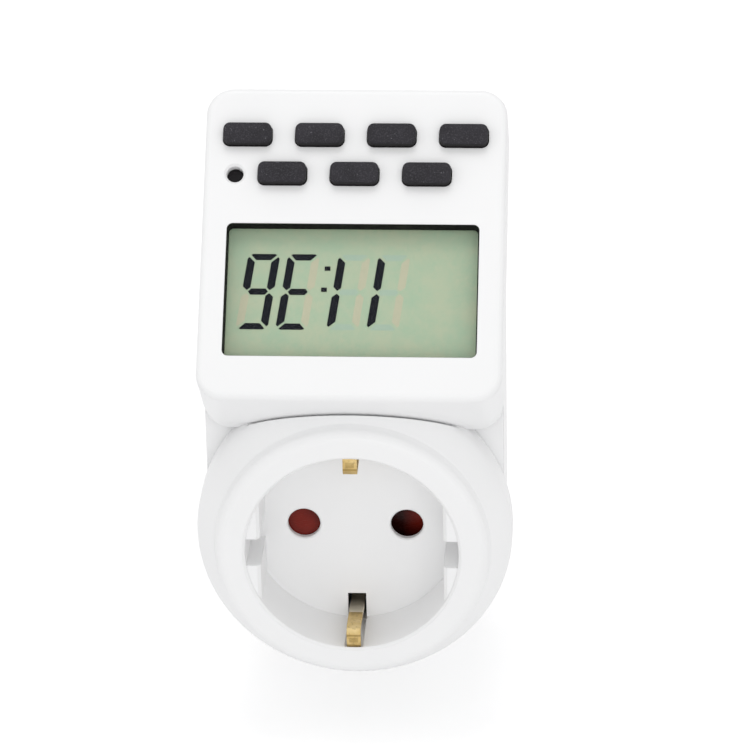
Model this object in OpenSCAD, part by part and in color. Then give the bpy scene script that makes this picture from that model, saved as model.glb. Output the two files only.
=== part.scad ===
// Plug-in weekly timer: a through-socket in a domed body, with a display head
// tilted back above it. X runs right, Z up and Y into the wall. The origin lies
// midway between the two plug pins, on the face that the pins stand out of.

/* [Socket] */
// Distance between the two pin holes, and between the two plug pins
pin_spacing = 19; // [18:0.5:20]
// Diameter of each pin hole in the socket floor
pin_hole_d = 6; // [5.4:0.1:6.6]
// Diameter of the round socket well
well_d = 39; // [38:0.5:42]
// Depth of the well, from its rim to its floor
well_depth = 12; // [10:0.5:14]
// Thickness of the socket floor
floor_t = 1.2; // [1:0.1:3]
// Gap between the two flats at the sides of the well
flat_gap = 33.4; // [32:0.2:35]
// Drop of the flats below the rim
flat_drop = 0.6; // [0.3:0.1:1.5]
// Width of the key notch in each flat
notch_w = 5.4; // [4.6:0.1:6.4]
// Width of each earth slot
earth_slot_w = 3.4; // [3:0.1:4.4]
// Length of the earth slot along the floor, inwards from the well wall
earth_slot_in = 4; // [3:0.2:5]
// Width of the bevel on the inner rim
rim_bevel = 0.45; // [0.2:0.05:0.8]
// Width of the bevel around each pin hole
hole_bevel = 0.25; // [0.1:0.05:0.5]

/* [Body] */
// Outer diameter of the socket ring
ring_d = 50; // [46:0.5:54]
// Depth of the ring, from the rim to the start of the dome
ring_h = 3; // [2:0.2:5]
// Outer diameter of the dome behind the ring
bell_d = 58; // [54:0.5:64]
// Depth of the dome's curved flank
bell_h = 6.5; // [4:0.5:8]
// Width of the neck behind the dome
neck_w = 54.6; // [52:0.2:57]
// Width of the body at the wall
neck_back_w = 52.4; // [50:0.2:55]
// Depth of the body from the socket rim to the wall
body_depth = 54; // [52:1:64]
// Depth of the rear housing
rear_depth = 22; // [20:1:23]
// Wall thickness of the housings
wall = 2.2; // [1.8:0.1:2.6]
// Radius of the rounded edge at the wall
back_edge = 1.2; // [0.6:0.1:1.6]

/* [Plug] */
// Diameter of the plug's round nose
nose_d = 37.5; // [36.5:0.5:38]
// Height of the nose, from the wall to the pin face
nose_h = 17; // [14:0.5:19]
// Distance between the nose's two flats
nose_flat = 35; // [34:0.5:36.5]
// Width of the grooves in the nose's flats
nose_groove_w = 5.8; // [5:0.2:6.6]
// Depth of the grooves in the nose's flats
nose_groove_t = 1.8; // [1:0.2:2]
// Diameter of the plug pins
pin_d = 4.8; // [4:0.1:5]
// Length of the plug pins
pin_len = 19; // [16:0.5:20]

/* [Display head] */
// Width of the head
head_w = 55; // [54:0.5:62]
// Length of the head's face
head_len = 60; // [59:0.5:64]
// Tilt of the face, measured from the wall
head_tilt = 45; // [43:1:47]
// Height of the face's lower edge above the socket axis
head_lift = 32.2; // [32:0.2:36]
// How far the face's lower edge stands in front of the socket rim
head_out = 1; // [0:0.2:3]
// Depth of the front cover
cover_depth = 14; // [13.6:0.2:15]
// Depth of the head's back behind the front cover
head_back = 3.5; // [3:0.1:4]
// Corner radius of the face
head_r = 5; // [4:0.2:6]
// Radius of the face's rounded edge
edge_r = 1.2; // [0.6:0.1:2]
// Wall thickness of the front cover
cover_wall = 2; // [1.6:0.1:2.2]
// Thickness of the face
face_t = 2.2; // [1.8:0.1:2.4]
// Width of the joint line between cover and body
joint_gap = 0.4; // [0.2:0.05:0.6]

/* [Display] */
// Width of the window
window_w = 45.8; // [42:0.2:46.4]
// Height of the window
window_h = 25.4; // [22:0.2:26]
// Distance from the face's lower edge to the window
window_s = 8.1; // [7.8:0.1:8.6]
// Corner radius of the window
window_r = 1.1; // [0.5:0.1:2]
// Thickness of the clear window pane
pane_t = 1; // [0.8:0.1:1.2]
// Thickness of the display glass
lcd_t = 2.2; // [1.6:0.1:2.4]
// Margin of the display glass around the window
lcd_margin = 1.2; // [0.8:0.1:1.4]
// Thickness of the display board
board_t = 1.6; // [1:0.1:1.8]
// Height of the display's digits
digit_h = 14.45; // [12:0.05:16]
// Width of the display's digits
digit_w = 5.8; // [5:0.1:6.2]
// Distance between neighbouring digits
digit_pitch = 7.22; // [7:0.02:7.4]
// Width of the digits' upright strokes
stroke = 1.4; // [1:0.05:1.5]
// Height of the digits' level strokes
bar_h = 1.15; // [0.9:0.05:1.3]

/* [Keys] */
// Width of a key
key_w = 8.8; // [8:0.1:9.8]
// Height of a key
key_h = 4; // [3.6:0.05:4.6]
// Corner radius of a key
key_r = 1.2; // [0.8:0.1:1.6]
// How far a key stands out of the face
key_proud = 1.8; // [1.2:0.1:2.6]
// Distance between neighbouring keys
key_pitch = 13.14; // [12.4:0.02:13.4]
// Distance from the face's lower edge to the lower row of keys
key_row_low = 42.95; // [42.5:0.05:43.4]
// Distance from the face's lower edge to the upper row of keys
key_row_high = 50.5; // [50:0.1:51]
// Travel of a key
key_travel = 1; // [0.4:0.1:1.2]
// Gap around a key in its opening
key_gap = 0.15; // [0.1:0.05:0.3]
// Diameter of the reset key's opening
reset_hole_d = 3.1; // [2.6:0.1:3.6]
// Width of the bevel around the reset key's opening
reset_bevel = 0.4; // [0.1:0.05:0.6]
// How deep the reset key lies below the face
reset_recess = 1.6; // [0.8:0.1:2]

/* [Mechanism] */
// Thickness of the shutter at the thick side of its ramps
shutter_t = 2.8; // [2.4:0.1:3.2]
// Diameter of the post that the shutter turns on
shutter_post_d = 4; // [3.5:0.5:5]
// Running clearance between post and shutter, on the radius
shutter_fit = 0.05; // [0.03:0.01:0.08]
// Half of the angle that a shutter wing spans
wing_half = 29; // [27:1:31]
// Length of the contact sleeves
sleeve_len = 12; // [10:0.5:13]
// Gap between a sleeve's two leaves before a pin spreads them
leaf_gap = 4.4; // [3.8:0.1:4.6]
// Thickness of the brass strips
brass_t = 0.7; // [0.5:0.1:0.9]
// Width of the earth strip in the well
earth_w = 2.6; // [2:0.1:2.8]
// Width of the other brass strips
strap_w = 4; // [3:0.5:5]

/* [Hidden] */
$fn = 64;
round_fn = 96;
// A clear gap between pieces, and a near touch
seat = 0.3;
touch = 0.1;
// Well away from every surface, for cutting bodies
far = 200;
rim_y = -(nose_h + body_depth);
well_r = well_d / 2;
ring_r = ring_d / 2;
bell_r = bell_d / 2;
well_out = well_r + wall;
floor_back = well_depth + floor_t;
dome_end = ring_h + bell_h;
neck_front = dome_end + 5;
neck_in = neck_front + wall;
split = body_depth - rear_depth;
slab_back = cover_depth + head_back;
slab_floor = slab_back - 2;
inner_w = head_w - 2 * cover_wall;

// Places of the pieces behind the face, counted inwards from it
pane_back = face_t + pane_t;
lcd_front = pane_back + touch;
lcd_back = lcd_front + lcd_t;
board_front = 8.5;
board_back = board_front + board_t;
mat_t = 0.9;
key_foot = board_front - mat_t - touch - key_travel - 0.2;
key_stop = face_t + seat;
key_stop_t = 1;
key_flange = [1.4, 1];
key_round = 0.7;
window_mid = window_s + window_h / 2;
lcd_w = window_w + 2 * lcd_margin;
lcd_h = window_h + 2 * lcd_margin;
frame_w = min(lcd_w + 2.2, inner_w - 0.4);
frame_h = lcd_h + 1.2;
cell_r = 5.8;
cell_t = 4.4;
lean = 0.13;

// Fixing of the front cover: four screws above the window, two hooks below it
boss_r = 2.1;
boss_bore = 0.95;
boss_top = [inner_w / 2 - 2.9, head_len - cover_wall - 2];
boss_mid = [inner_w / 2 - 2.2, window_mid + frame_h / 2 + boss_r + 0.3];
cover_boss = [for (x = [-1, 1], p = [boss_top, boss_mid]) [x * p[0], p[1]]];
cover_screw_head = 1.3;
hook_x = 15;
reset_at = [-21.8, key_row_low + 0.1];
ribbon_x = 3.5;
ribbon_s = 16;

// Places along the body, counted from the socket rim
shutter_front = floor_back + seat;
shutter_back = shutter_front + shutter_t;
wing_r = pin_spacing / 2 + pin_hole_d / 2 + 0.7;
hub_r = shutter_post_d / 2 + 2.4;
spring_wire = 0.5;
spring_turns = 3;
post_end = shutter_back + 3.2;
post_bore = 2.1;
sleeve_front = shutter_back + 0.5;
carrier_front = sleeve_front + sleeve_len + brass_t;
carrier_t = 2.2;
carrier_back = carrier_front + carrier_t;
carrier_w = neck_w - 2 * wall - 6.6;
carrier_h = 19.6;
carrier_post = [carrier_w / 2 - 2.7, carrier_h / 2 - 3];
tail_w = 3;
wall_front = body_depth - wall;
power_back = wall_front - 2;
power_front = power_back - 1.6;
power_low = 19.5;
power_high = 50;
power_w = 34;
// Bosses under the power board: the lower one clears the live strap
board_boss_r = 2.3;
board_boss_x = max(15, pin_spacing / 2 + strap_w / 2 + board_boss_r + touch);
board_screw_at = [[-15, 46], [15, 46], [board_boss_x, 22.2]];
nose_wall = 2.5;
nose_end = body_depth + nose_h;
pin_head_d = 7.5;
pin_head_t = 1.5;
shank_d = pin_d + 0.6;
pin_head = nose_end - nose_wall - pin_head_t;
strap_z = 3.2;
earth_bar = power_back + 0.9;

// Housing screws, sunk in tubes of the rear housing
screw_d = 2.9;
screw_head_d = 5;
screw_free = 0.3;
sink_d = screw_head_d + 0.4;
screw_boss_r = 4;
low_screw_r = nose_d / 2 + sink_d / 2 + 0.4;
screw_at = [[-0.75 * low_screw_r, -0.66 * low_screw_r], [0.75 * low_screw_r, -0.66 * low_screw_r],
  [-21.4, 30], [21.4, 30]];
screw_seat = split + 2;

// A rounded rectangle about the origin
module pad(w, h, r) {
  square([w - 2 * r, h], center = true);
  square([w, h - 2 * r], center = true);
  for (x = [-1, 1], y = [-1, 1]) translate([x * (w / 2 - r), y * (h / 2 - r)]) circle(r);
}

// Puts children on the tilted face: x across it, y up it, z out of it
module on_face() {
  translate([0, rim_y - head_out, head_lift]) rotate([90 - head_tilt, 0, 0]) children();
}

// A flat shape drawn on the face, reaching from a to b behind it
module layer(a, b) {
  translate([0, 0, -b]) linear_extrude(b - a) children();
}

// A shape drawn in X and Z, reaching from depth a to depth b behind the socket rim
module along(a, b) {
  translate([0, rim_y + b, 0]) rotate([90, 0, 0]) linear_extrude(b - a) children();
}

// A profile of radius and depth, turned about the socket axis
module turned(points) {
  translate([0, rim_y, 0]) rotate([-90, 0, 0]) rotate_extrude($fn = round_fn) polygon(points);
}

// Depth behind the rim, and height, of a point s up the face and n behind it
function depth_at(s, n) = s * sin(head_tilt) + n * cos(head_tilt) - head_out;
function height_at(s, n) = head_lift + s * cos(head_tilt) - n * sin(head_tilt);

// The outline of a strip of thickness t along a path of depth and height
function unit(v) = v / norm(v);
function left_of(v) = [-v[1], v[0]];
function side_at(path, i) =
  let (a = left_of(unit(path[max(i, 1)] - path[max(i, 1) - 1])),
    j = min(i, len(path) - 2), b = left_of(unit(path[j + 1] - path[j])))
  (a + b) / (1 + a * b);
function outline(path, t) = concat(
  [for (i = [0:len(path) - 1]) path[i] + side_at(path, i) * t / 2],
  [for (i = [len(path) - 1:-1:0]) path[i] - side_at(path, i) * t / 2]);

// A bent strip of width w, centred on x
module strip(x, w, t, path) {
  translate([x - w / 2, rim_y, 0]) rotate([90, 0, 90]) linear_extrude(w) polygon(outline(path, t));
}

// Everything deeper than n behind the face, up to the head's upper end
module behind_face(n) {
  on_face() translate([-far, -far, -n - far]) cube([2 * far, far + head_len, far]);
}

// The body's outline seen from the front: round below, straight above
module arch(w) {
  circle(d = w, $fn = round_fn);
  translate([-w / 2, 0]) square([w, 80]);
}

// The face's outline, drawn in by a margin
module face_outline(m) {
  translate([0, head_len / 2]) pad(head_w - 2 * m, head_len - 2 * m, max(head_r - m, 0.8));
}

// The face's rounded outer edge
module face_edge() {
  hull() for (a = [0:22.5:90])
    translate([0, 0, -edge_r * (1 - sin(a)) - 0.01]) linear_extrude(0.01)
      face_outline(edge_r * (1 - cos(a)), $fn = 32);
}

// A key's place: three in the lower row, four in the upper one
function key_at(i, row) = [(i - (row == 0 ? 1 : 1.5)) * key_pitch, row == 0 ? key_row_low : key_row_high];
key_list = [[0, 0], [1, 0], [2, 0], [0, 1], [1, 1], [2, 1], [3, 1]];

module front_cover() {
  color("white") on_face() {
    difference() {
      union() {
        face_edge();
        layer(edge_r, cover_depth) face_outline(0);
      }
      layer(face_t, cover_depth + 1) face_outline(cover_wall);
      layer(-1, face_t + 1) translate([0, window_mid]) pad(window_w, window_h, window_r);
      layer(-1, face_t + 1) for (k = key_list) translate(key_at(k[0], k[1]))
        pad(key_w + 2 * key_gap, key_h + 2 * key_gap, key_r + key_gap);
      // Room for the keys' stop flanges
      layer(face_t, key_stop + key_stop_t + key_travel) for (k = key_list) translate(key_at(k[0], k[1]))
        pad(key_w + key_flange[0] + 2 * key_gap, key_h + key_flange[1] + 2 * key_gap, key_r + key_gap);
      layer(-1, face_t + 1) translate(reset_at) circle(d = reset_hole_d);
      translate([reset_at[0], reset_at[1], -reset_bevel])
        cylinder(h = reset_bevel + 1, d1 = reset_hole_d, d2 = reset_hole_d + 2 * reset_bevel + 2);
      // Recesses for the hooks
      for (x = [-1, 1]) layer(cover_depth - 2.8, cover_depth - 0.8)
        translate([x * hook_x, cover_wall]) square([7, 2], center = true);
    }
    for (p = cover_boss) difference() {
      intersection() {
        layer(face_t - 0.5, cover_depth) translate(p) circle(boss_r);
        layer(0.5, cover_depth) face_outline(1);
      }
      layer(face_t + 2, cover_depth + 1) translate(p) circle(boss_bore);
    }
    // Ribs that hold the window pane in place
    for (y = [-1, 1]) layer(face_t - 0.1, pane_back)
      translate([0, window_mid + y * (lcd_h / 2 + 0.55)]) square([20, 0.8], center = true);
  }
}

module window_pane() {
  color([0.85, 0.92, 0.95, 0.4]) on_face()
    layer(face_t, pane_back) translate([0, window_mid]) pad(lcd_w, lcd_h, window_r);
}

module lcd_glass() {
  color([0.66, 0.72, 0.6]) on_face()
    layer(lcd_front, lcd_back) translate([0, window_mid]) square([lcd_w, lcd_h], center = true);
}

// A digit of strokes: 0 top, 1 and 2 upper, 3 middle, 4 and 5 lower, 6 bottom
function mirrored(points, x, y) = [for (p = points) [x * p[0], y * p[1]]];

module digit(on) {
  w = digit_w / 2;
  h = digit_h / 2;
  in = w - stroke;
  cut = 0.18;
  gap = 0.3;
  top = [[3 * gap - w, h], [w - 3 * gap, h], [w - 2 * gap, h - cut], [in - cut, h - bar_h],
    [cut - in, h - bar_h], [2 * gap - w, h - cut]];
  middle = [[-in - gap, 0], [cut - in, bar_h / 2], [in - cut, bar_h / 2], [in + gap, 0],
    [in - cut, -bar_h / 2], [cut - in, -bar_h / 2]];
  upright = [[w - gap, h - 2 * gap], [w, h - 3 * gap], [w, 3 * gap + 0.1], [w - 0.8, gap],
    [in, gap + 0.5], [in, h - bar_h - 1.5 * gap]];
  strokes = [top, mirrored(upright, -1, 1), upright, middle, mirrored(upright, -1, -1),
    mirrored(upright, 1, -1), mirrored(top, 1, -1)];
  for (i = on) polygon([for (p = strokes[i]) [p[0] + lean * p[1], p[1]]]);
}

module lcd_digits() {
  color([0.12, 0.13, 0.14]) on_face() layer(lcd_front - 0.08, lcd_front)
  translate([0, window_s + 13.4]) {
    translate([-13.46 - digit_pitch / 2, 0]) digit([0, 1, 2, 3, 5, 6]);
    translate([-13.46 + digit_pitch / 2, 0]) digit([0, 1, 3, 4, 6]);
    translate([2.97 - digit_pitch / 2, 0]) digit([1, 4]);
    translate([2.97 + digit_pitch / 2, 0]) digit([1, 4]);
    for (y = [0.46, 4.52]) translate([lean * y - 5.17, y]) square([1.03, 0.8], center = true);
  }
}

module lcd_frame() {
  color("white") on_face() difference() {
    layer(lcd_front + 0.2, board_front) translate([0, window_mid]) square([frame_w, frame_h], center = true);
    layer(lcd_front, lcd_back + touch) translate([0, window_mid])
      square([lcd_w + 0.4, lcd_h + 0.4], center = true);
    layer(lcd_back, board_front + 1)
      translate([0, window_mid]) square([lcd_w - 4, lcd_h - 0.6], center = true);
  }
}

module zebra_strips() {
  color([0.9, 0.55, 0.6]) on_face() for (y = [-1, 1]) layer(lcd_back, board_front)
    translate([0, window_mid + y * (lcd_h / 2 - 1.5)]) square([lcd_w - 5, 1.6], center = true);
}

module display_board() {
  color([0.1, 0.4, 0.22]) on_face() difference() {
    layer(board_front, board_back) face_outline(cover_wall + 0.4);
    layer(board_front - 1, board_back + 1) for (p = cover_boss) {
      translate(p) circle(boss_r + 0.3);
      translate([sign(p[0]) * inner_w / 2, p[1]]) square([5.8, 2 * boss_r + 0.6], center = true);
    }
  }
}

module controller_blob() {
  color([0.08, 0.08, 0.09]) on_face() translate([7, window_mid + 3, -board_back]) mirror([0, 0, 1])
    rotate_extrude() polygon([[0, 0], [5.5, 0], [5.1, 0.6], [3.8, 1.2], [2, 1.5], [0, 1.6]]);
}

module backup_cell() {
  color([0.75, 0.76, 0.78]) on_face() translate([-12, window_mid, 0]) {
    layer(board_back, board_back + cell_t) circle(cell_r);
    layer(board_back + cell_t, board_back + cell_t + 0.4) circle(cell_r - 1.6);
  }
}

// The rubber mat, with a hollow dome under each key
module key_mat() {
  low = key_row_low - key_h / 2 - 1.2;
  high = key_row_high + key_h / 2 + 0.4;
  color([0.8, 0.8, 0.82]) on_face() {
    difference() {
      layer(board_front - mat_t, board_front)
        translate([0, (low + high) / 2]) pad(inner_w - 2, high - low, 1);
      layer(0, board_front + 1) for (p = cover_boss) translate(p) circle(boss_r + 0.3);
    }
    for (p = concat([for (k = key_list) key_at(k[0], k[1])], [reset_at]))
      translate([p[0], p[1], -(board_front - mat_t)]) dome();
  }
}

module dome() {
  h = board_front - mat_t - key_foot - 0.05;
  rotate_extrude() polygon([[0, h], [1, h], [1.5, 0], [0.9, 0], [0.6, h - 0.4], [0, h - 0.4]]);
}

// A key: rounded top, stem and a stop flange behind the face
module key_cap(i, row) {
  color([0.2, 0.19, 0.21]) on_face() translate(key_at(i, row)) {
    hull() for (a = [0, 45, 90])
      translate([0, 0, key_proud - key_round * (1 - cos(a))]) linear_extrude(0.01)
        pad(key_w - 2 * key_round * (1 - sin(a)), key_h - 2 * key_round * (1 - sin(a)), key_r - 0.2,
          $fn = 24);
    layer(key_round - key_proud, key_foot) pad(key_w, key_h, key_r);
    layer(key_stop, key_stop + key_stop_t) pad(key_w + key_flange[0], key_h + key_flange[1], key_r);
  }
}

module mode_key() { key_cap(0, 1); }
module enter_key() { key_cap(1, 1); }
module clock_key() { key_cap(2, 1); }
module clear_key() { key_cap(3, 1); }
module minute_key() { key_cap(0, 0); }
module hour_key() { key_cap(1, 0); }
module week_key() { key_cap(2, 0); }

module reset_key() {
  color([0.2, 0.19, 0.21]) on_face() translate(reset_at) {
    layer(reset_recess, key_foot) circle(d = reset_hole_d - 2 * key_gap);
    layer(key_stop, key_stop + key_stop_t) circle(1.9);
  }
}

module cover_screws() {
  color([0.75, 0.75, 0.78]) on_face() for (p = cover_boss) translate(p) {
    layer(cover_depth - 6, slab_back - cover_screw_head) circle(boss_bore - 0.05);
    layer(slab_back - cover_screw_head, slab_back) circle(1.9);
  }
}

// The ring and the dome behind it
module bell() {
  flank = ring_r + seat;
  turned(concat([[well_r - 1, 0.5], [well_r + rim_bevel, 0]],
    [for (a = [90:-15:0]) [ring_r - 2 + 2 * cos(a), 2 - 2 * sin(a)]],
    [for (k = [0:10]) [flank + (bell_r - flank) * sin(9 * k), ring_h + bell_h * k / 10]],
    [[bell_r, neck_front - 0.8], [bell_r - 0.8, neck_front], [well_r - 1, neck_front]]));
}

// One side flat of the well, with its bevelled front edge and its key notch
module side_flat() {
  bevel = 0.6;
  intersection() {
    along(0, floor_back) circle(well_r + 0.5, $fn = round_fn);
    difference() {
      translate([0, rim_y, -well_r]) linear_extrude(2 * well_r)
        polygon([[flat_gap / 2, floor_back], [flat_gap / 2, flat_drop + bevel],
          [flat_gap / 2 + bevel, flat_drop], [well_out, flat_drop], [well_out, floor_back]]);
      translate([0, rim_y - 1, -notch_w / 2]) cube([well_out + 1, well_depth + 1, notch_w]);
    }
  }
}

// Slots for the earth strip, in the well's wall and floor
module earth_slots() {
  for (z = [-1, 1]) {
    translate([0, 0, z * (well_r + 0.35)])
      along(flat_drop, floor_back + 1) square([earth_slot_w, 3.1], center = true);
    translate([0, 0, z * (well_r - earth_slot_in / 2)])
      along(well_depth - 0.5, floor_back + 1) square([earth_slot_w, earth_slot_in + 2], center = true);
  }
}

// The hollow between the well's wall and the dome, below the head
module dome_hollow() {
  wide = bell_r - wall;
  intersection() {
    turned([[well_out, dome_end - 2], [wide - 1.2, dome_end - 2], [wide, dome_end],
      [wide, neck_front - 1.6], [neck_w / 2 - wall, neck_front], [neck_w / 2 - wall, neck_in + touch],
      [well_out, neck_in + touch]]);
    translate([-far, -far, -far]) cube([2 * far, 2 * far, far + 14]);
  }
}

// The socket body and neck
module body_solid() {
  bell();
  along(well_depth, neck_in) circle(well_out, $fn = round_fn);
  intersection() {
    along(neck_front, split) arch(neck_w);
    behind_face(slab_back - 1);
  }
}

// The pieces of the main housing that fix the front cover
module cover_fixing() {
  layer(cover_depth - 1.4, slab_floor + 0.5) difference() {
    face_outline(cover_wall + 0.15);
    face_outline(cover_wall + 1.3);
    for (p = cover_boss) translate(p) circle(boss_r + 0.2);
  }
  for (p = cover_boss) layer(cover_depth, slab_floor + 0.5) intersection() {
    difference() {
      translate(p) circle(boss_r);
      translate(p) circle(boss_bore + 0.1);
    }
    face_outline(cover_wall + 0.15);
  }
  for (x = [-1, 1]) translate([x * hook_x, 0]) {
    layer(cover_depth - 2.6, cover_depth - 1)
      translate([0, cover_wall + 0.2]) square([6, 1.6], center = true);
    layer(cover_depth - 2.6, cover_depth) translate([0, cover_wall + 0.65]) square([6, 1], center = true);
  }
}

module main_housing() {
  color("white") {
    difference() {
      union() {
        body_solid();
        on_face() layer(cover_depth + joint_gap, slab_back) face_outline(0.3);
      }
      // The well, with its bevelled rim
      turned([[0, -1], [well_r + rim_bevel + 1, -1], [well_r, rim_bevel], [well_r, well_depth],
        [0, well_depth]]);
      dome_hollow();
      along(floor_back, neck_in + touch) circle(well_out - 0.5, $fn = round_fn);
      intersection() {
        along(neck_in, split + 1) arch(neck_w - 2 * wall);
        behind_face(slab_back);
      }
      // Room for the head's front cover
      on_face() layer(-far, cover_depth + joint_gap)
        translate([-far, -joint_gap]) square([2 * far, 2 * far]);
      // Hollow of the head's back, the cable's way through, and the screws' holes
      on_face() {
        layer(0, slab_floor) face_outline(cover_wall + 0.3);
        layer(0, slab_back + 1) translate([ribbon_x, ribbon_s]) square([12, 5], center = true);
        for (p = cover_boss) translate(p) {
          layer(0, slab_back + 1) circle(boss_bore + 0.1);
          layer(slab_back - cover_screw_head, slab_back + 1) circle(2.1);
        }
      }
      earth_slots();
      for (x = [-1, 1]) translate([x * pin_spacing / 2, 0, 0]) {
        along(well_depth - 1, floor_back + 1) circle(d = pin_hole_d);
        translate([0, rim_y + well_depth - 1, 0]) rotate([-90, 0, 0])
          cylinder(h = 1 + hole_bevel, d1 = pin_hole_d + 2 * hole_bevel + 2, d2 = pin_hole_d);
      }
    }
    side_flat();
    mirror([1, 0, 0]) side_flat();
    // Post for the shutter, with the screw's hole
    difference() {
      along(floor_back - 0.5, post_end) circle(d = shutter_post_d);
      along(floor_back + 0.4, post_end + 1) circle(d = post_bore);
    }
    // Posts that carry the contact carrier, with stakes through it
    for (x = [-1, 1], z = [-1, 1]) translate([x * carrier_post[0], 0, z * carrier_post[1]]) {
      along(floor_back - 0.5, carrier_front) circle(d = 4);
      along(carrier_front - 1, carrier_back + 0.6) circle(d = 2.4);
    }
    // Bosses for the housing screws
    for (p = screw_at) difference() {
      intersection() {
        translate([p[0], 0, p[1]]) along(neck_in - 0.5, split) circle(screw_boss_r);
        behind_face(slab_back - 0.5);
      }
      translate([p[0], 0, p[1]]) along(split - 9.5, split + 1) circle(d = screw_d + 0.1);
    }
    on_face() cover_fixing();
  }
}

// A wing of the shutter: a sector over one pin hole, with a ramp on its front
module wing() {
  slope = 14;
  ramp_in = 0.8;
  difference() {
    along(shutter_front, shutter_back) polygon(concat([[0, 0]], [for (k = [-3:3])
      [wing_r * cos(k * wing_half / 3), wing_r * sin(k * wing_half / 3)]]));
    translate([hub_r + 0.6, rim_y + shutter_front + ramp_in, 0]) rotate([slope, 0, 0])
      translate([0, -far, -far / 2]) cube([far, far, far]);
  }
}

module shutter() {
  color([0.62, 0.13, 0.11]) difference() {
    union() {
      along(shutter_front, shutter_back) circle(hub_r);
      wing();
      rotate([0, 180, 0]) wing();
    }
    along(shutter_front - 1, shutter_back + 1) circle(r = shutter_post_d / 2 + shutter_fit);
  }
}

// Points of a coil's wire, ring by ring, and its tube
function coil_ring(r, rise, turns, wire, sides, a) = [for (k = [0:sides - 1])
  let (b = 360 * k / sides, rr = r + wire / 2 * cos(b))
  [rr * cos(a * turns), rr * sin(a * turns), rise * a / 360 + wire / 2 * sin(b)]];

module coil(r, rise, turns, wire) {
  sides = 6;
  steps = 14 * turns;
  points = [for (i = [0:steps]) each coil_ring(r, rise, turns, wire, sides, 360 * i / steps)];
  skin = [for (i = [0:steps - 1], k = [0:sides - 1]) each
    let (a = i * sides + k, b = i * sides + (k + 1) % sides)
    [[a, b + sides, b], [a, a + sides, b + sides]]];
  polyhedron(points, concat([[for (k = [0:sides - 1]) k]],
    [[for (k = [sides - 1:-1:0]) steps * sides + k]], skin));
}

module shutter_spring() {
  rise = post_end - shutter_back - 2 * seat - spring_wire;
  color([0.7, 0.7, 0.72]) translate([0, rim_y + shutter_back + seat + spring_wire / 2, 0])
    rotate([-90, 0, 0]) coil(shutter_post_d / 2 + seat + spring_wire / 2, rise, spring_turns, spring_wire);
}

module shutter_screw() {
  color([0.75, 0.75, 0.78]) {
    along(floor_back + 0.6, post_end) circle(d = post_bore - 0.1);
    along(post_end, post_end + 1.2) circle(d = shutter_post_d + 3.5);
  }
}

module contact_carrier() {
  color([0.85, 0.84, 0.8]) difference() {
    along(carrier_front, carrier_back) pad(carrier_w, carrier_h, 3);
    for (x = [-1, 1], z = [-1, 1]) translate([x * carrier_post[0], 0, z * carrier_post[1]])
      along(carrier_front - 1, carrier_back + 1) circle(d = 2.6);
    for (x = [-1, 1]) translate([x * pin_spacing / 2, 0, 0])
      along(carrier_front - 1, carrier_back + 1) square([tail_w + 0.3, brass_t + 0.3], center = true);
  }
}

// A sprung sleeve for one pin: two leaves with flared mouths, and a tail
module contact(x) {
  g = (leaf_gap + brass_t) / 2;
  root = carrier_front - brass_t / 2;
  leaf = [[sleeve_front, g + 1.3], [sleeve_front + 2, g + touch], [root - 5, g], [root - 3, g + 0.5],
    [root, g + 0.5], [root, 0]];
  color([0.8, 0.63, 0.25]) {
    strip(x, 5.6, brass_t, leaf);
    mirror([0, 0, 1]) strip(x, 5.6, brass_t, leaf);
    translate([x, 0, 0]) along(root, carrier_back) square([tail_w, brass_t], center = true);
  }
}

module live_contact() { contact(pin_spacing / 2); }
module neutral_contact() { contact(-pin_spacing / 2); }

// The earth strip: a sprung clip at the top and bottom of the well, joined behind the socket
module earth_strip() {
  inner = well_r - 1.6;
  bridge = carrier_back + brass_t / 2;
  clip = [[1.35, well_r + 0.5], [1, well_r - 1.4], [1, well_r - 2.5], [1.5, well_r - 3.2],
    [3, well_r - 3.4], [7, well_r - 3], [11, well_r - 2.4]];
  path = concat(clip, [[floor_back + 1, well_r - 1.9], [floor_back + 3.5, inner], [bridge, inner],
    [bridge, 0]]);
  color([0.83, 0.66, 0.28]) {
    strip(0, earth_w, brass_t, path);
    mirror([0, 0, 1]) strip(0, earth_w, brass_t, path);
  }
}

// Half profile of the rear housing, drawn in by m, with a rounded edge of radius e
function rear_profile(m, a, b, e) = concat([[0, a], [neck_w / 2 - m, a]],
  [for (k = [0:22.5:90]) [neck_back_w / 2 - m - e + e * cos(k), b - e + e * sin(k)]], [[0, b]]);

module rear_body(m, a, b, e) {
  half = rear_profile(m, a, b, e);
  turned(half);
  translate([0, rim_y, 0]) linear_extrude(80)
    polygon(concat(half, [for (i = [len(half) - 2:-1:1]) [-half[i][0], half[i][1]]]));
}

module nose() {
  difference() {
    intersection() {
      turned([[0, body_depth - 1], [nose_d / 2, body_depth - 1], [nose_d / 2, nose_end - 1.2],
        [nose_d / 2 - 1.2, nose_end], [0, nose_end]]);
      along(body_depth - 1, nose_end) square([nose_flat, nose_d], center = true);
    }
    for (x = [-1, 1]) translate([x * nose_flat / 2, 0, 0])
      along(body_depth, nose_end + 1) square([2 * nose_groove_t, nose_groove_w], center = true);
  }
}

// Hole of one housing screw, wide enough for its head past the seat
module screw_hole(p) {
  translate([p[0], 0, p[1]]) {
    along(split - 1, body_depth + 1) circle(d = screw_d + screw_free);
    along(screw_seat, body_depth + 1) circle(d = sink_d);
  }
}

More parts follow.
